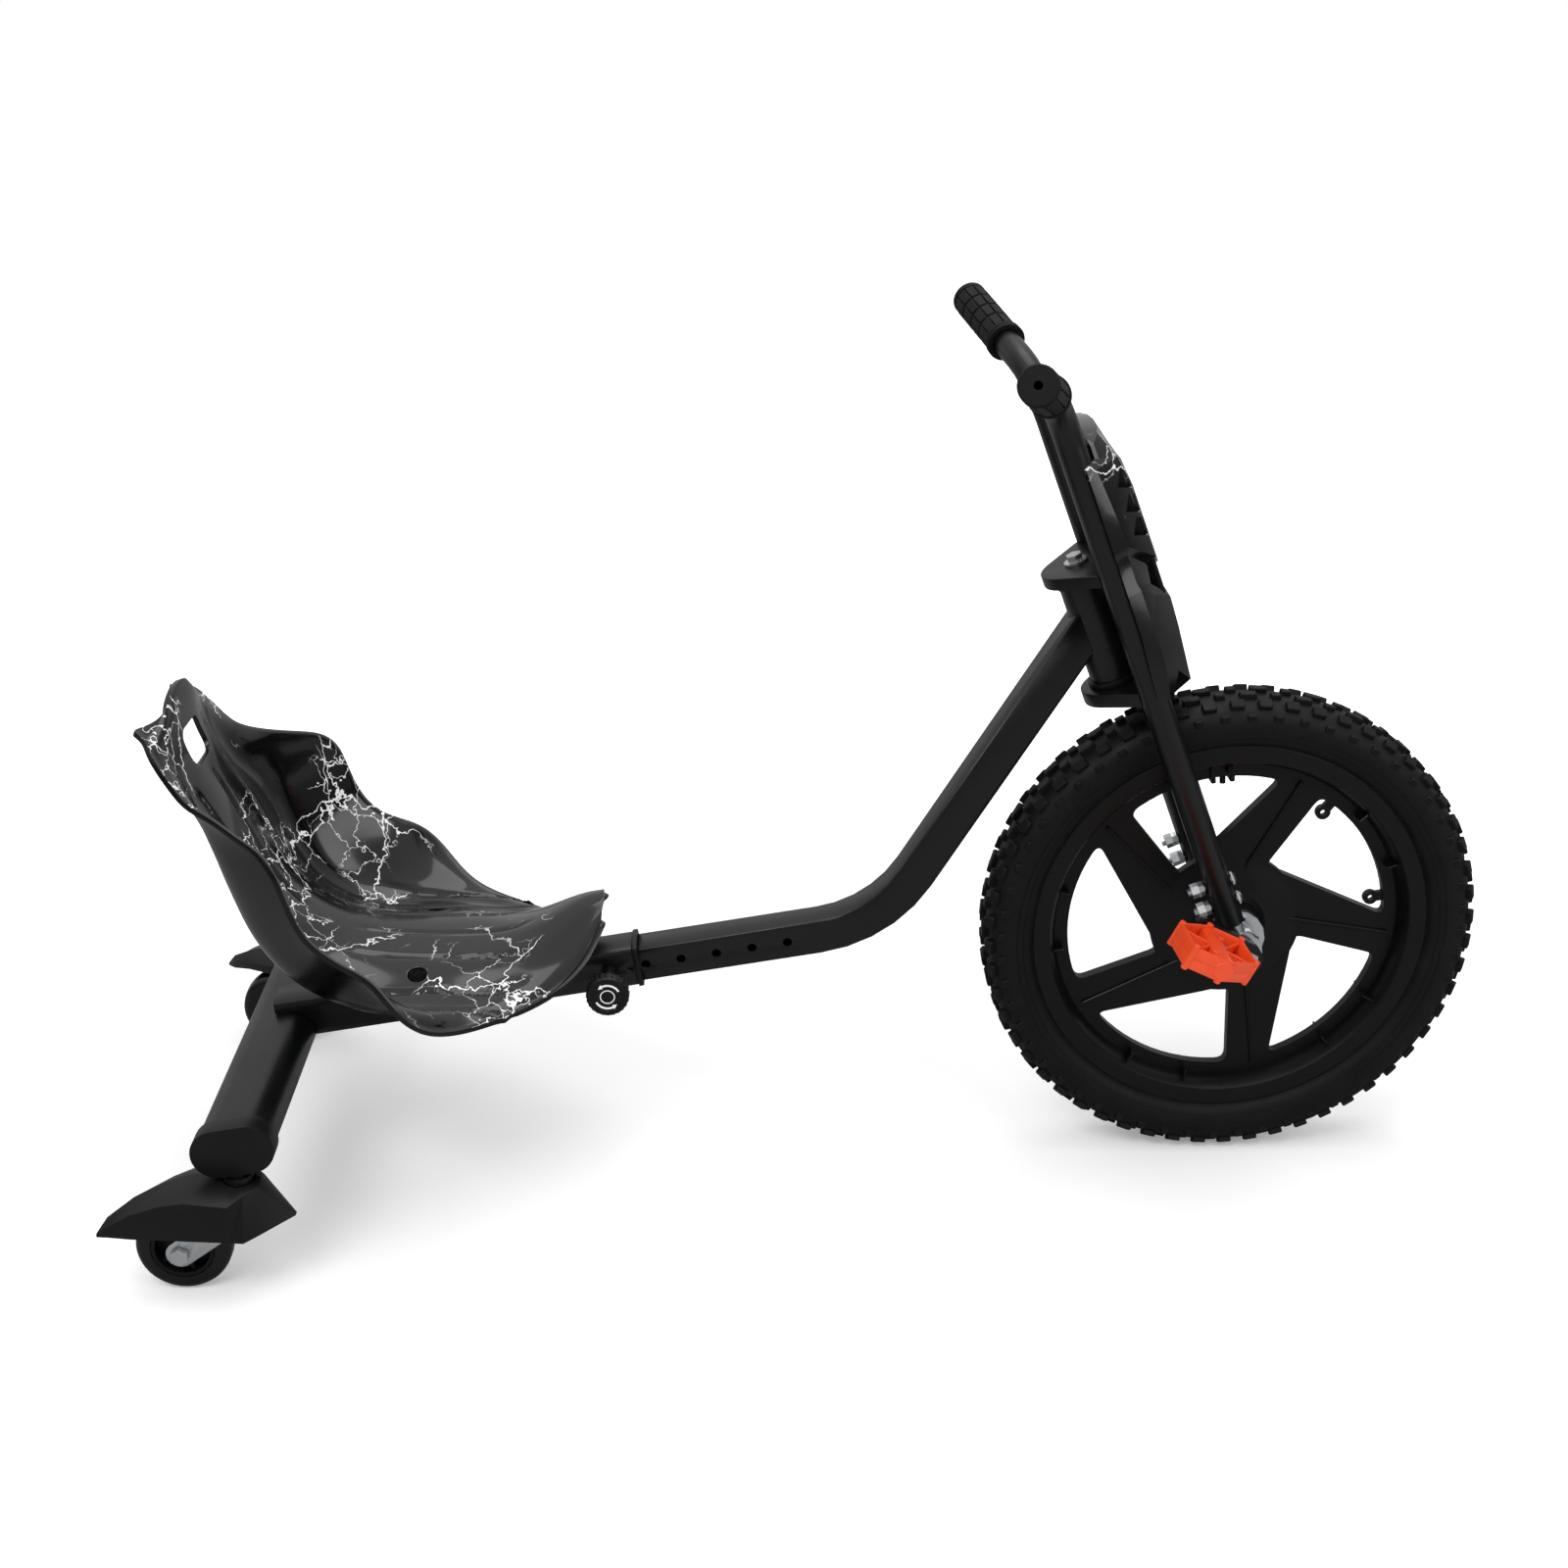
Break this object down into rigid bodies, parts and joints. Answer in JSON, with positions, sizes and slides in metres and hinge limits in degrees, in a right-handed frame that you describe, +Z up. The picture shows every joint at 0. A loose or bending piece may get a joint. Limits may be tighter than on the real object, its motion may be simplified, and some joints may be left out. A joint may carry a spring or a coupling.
{
  "type": "drift trike",
  "caption": "Drift trike with a pedalled front wheel, adjustable sliding frame, bucket seat, rear beam and swivelling fendered casters.",
  "frame": {"origin": "on the ground, at the middle of the length and width of the trike's box", "axes": "+X points forward, +Y to the rider's left, +Z up from the ground"},
  "size_m": [1.083, 0.444, 0.6958],
  "materials": {
    "frame_paint": "satin black powder coat on steel tube",
    "gloss_shell": null,
    "matte_black": "fine-textured matt black moulded plastic",
    "grip_rubber": "ribbed matt black rubber",
    "tyre_rubber": "matt black tyre rubber",
    "caster_tread": "smooth black polyurethane tread",
    "zinc_steel": "bright zinc plate on steel",
    "pedal_plastic": "orange-red moulded plastic"
  },
  "bodies": {
    "rear_frame": {"receiver_tube": "frame_paint", "receiver_collar": "matte_black", "pin_housing": "frame_paint", "pin_spring": "zinc_steel", "rear_beam": "frame_paint", "beam_cap_right": "matte_black", "beam_cap_left": "matte_black", "caster_mount_right": "frame_paint", "caster_mount_left": "frame_paint", "seat_bracket": "frame_paint", "seat_shell": "gloss_shell", "seat_bolt_right": "zinc_steel", "seat_bolt_left": "zinc_steel"},
    "pull_pin": {"index_pin": "zinc_steel"},
    "knob": {"adjust_knob": "matte_black"},
    "front_frame": {"main_tube": "frame_paint", "head_tube": "frame_paint", "headset_cup_lower": "matte_black", "headset_cup_upper": "matte_black"},
    "fork": {"steerer_tube": "frame_paint", "crown_lower": "frame_paint", "crown_upper": "frame_paint", "steerer_bolt": "zinc_steel", "fork_leg_right": "frame_paint", "grip_right": "grip_rubber", "axle_bracket_right": "zinc_steel", "leg_bolt_right_1": "zinc_steel", "leg_bolt_right_2": "zinc_steel", "fork_leg_left": "frame_paint", "grip_left": "grip_rubber", "axle_bracket_left": "zinc_steel", "leg_bolt_left_1": "zinc_steel", "leg_bolt_left_2": "zinc_steel", "shroud_shell": "gloss_shell", "shroud_panel": "matte_black", "shroud_strap_lower": "matte_black", "shroud_strap_upper": "matte_black"},
    "front_wheel": {"tyre": "tyre_rubber", "rim": "matte_black", "valve_stem": "grip_rubber", "wheel_axle": "zinc_steel", "hub_disc_right": "zinc_steel", "hub_disc_left": "zinc_steel", "crank_right": "frame_paint", "crank_left": "frame_paint"},
    "pedal_body_right": {"pedal_right": "pedal_plastic"},
    "pedal_body_left": {"pedal_left": "pedal_plastic"},
    "caster_right": {"caster_fork_right": "zinc_steel", "caster_fender_right": "matte_black", "caster_axle_right": "zinc_steel"},
    "caster_wheel_right": {"caster_core_right": "matte_black", "caster_tyre_right": "caster_tread"},
    "caster_left": {"caster_fork_left": "zinc_steel", "caster_fender_left": "matte_black", "caster_axle_left": "zinc_steel"},
    "caster_wheel_left": {"caster_core_left": "matte_black", "caster_tyre_left": "caster_tread"}
  },
  "joints": [
    {"name": "frame_slide", "type": "slide", "parent": "rear_frame", "child": "front_frame", "axis": [0.9877, 0, 0.1564], "range_m": [-0.147, 0.0294]},
    {"name": "steering", "type": "hinge", "parent": "front_frame", "child": "fork", "pos_m": [0.31985, 0, 0.19577], "axis": [-0.3616, 0, 0.9323], "range_deg": [-65, 65]},
    {"name": "front_wheel_spin", "type": "hinge", "parent": "fork", "child": "front_wheel", "pos_m": [0.3385, 0, 0.203], "axis": [0, 1, 0], "continuous": true},
    {"name": "pedal_spin_right", "type": "hinge", "parent": "front_wheel", "child": "pedal_body_right", "pos_m": [0.302, -0.1095, 0.229], "axis": [0, 1, 0], "continuous": true},
    {"name": "pedal_spin_left", "type": "hinge", "parent": "front_wheel", "child": "pedal_body_left", "pos_m": [0.375, 0.1095, 0.177], "axis": [0, 1, 0], "continuous": true},
    {"name": "pin_pull", "type": "slide", "parent": "rear_frame", "child": "pull_pin", "axis": [0, -1, 0], "range_m": [0, 0.01], "stiffness_N_per_m": 800, "springref_m": -0.006, "deforming": ["pin_spring"]},
    {"name": "knob_turn", "type": "hinge", "parent": "pull_pin", "child": "knob", "pos_m": [-0.16923, 0, 0.17243], "axis": [0, -1, 0], "range_deg": [-360, 0]},
    {"name": "caster_swivel_right", "type": "hinge", "parent": "rear_frame", "child": "caster_right", "pos_m": [-0.4415, -0.19, 0.0855], "axis": [0, 0, 1], "continuous": true},
    {"name": "caster_wheel_spin_right", "type": "hinge", "parent": "caster_right", "child": "caster_wheel_right", "pos_m": [-0.4865, -0.19, 0.036], "axis": [0, 1, 0], "continuous": true},
    {"name": "caster_swivel_left", "type": "hinge", "parent": "rear_frame", "child": "caster_left", "pos_m": [-0.4415, 0.19, 0.0855], "axis": [0, 0, 1], "continuous": true},
    {"name": "caster_wheel_spin_left", "type": "hinge", "parent": "caster_left", "child": "caster_wheel_left", "pos_m": [-0.4865, 0.19, 0.036], "axis": [0, 1, 0], "continuous": true}
  ]
}
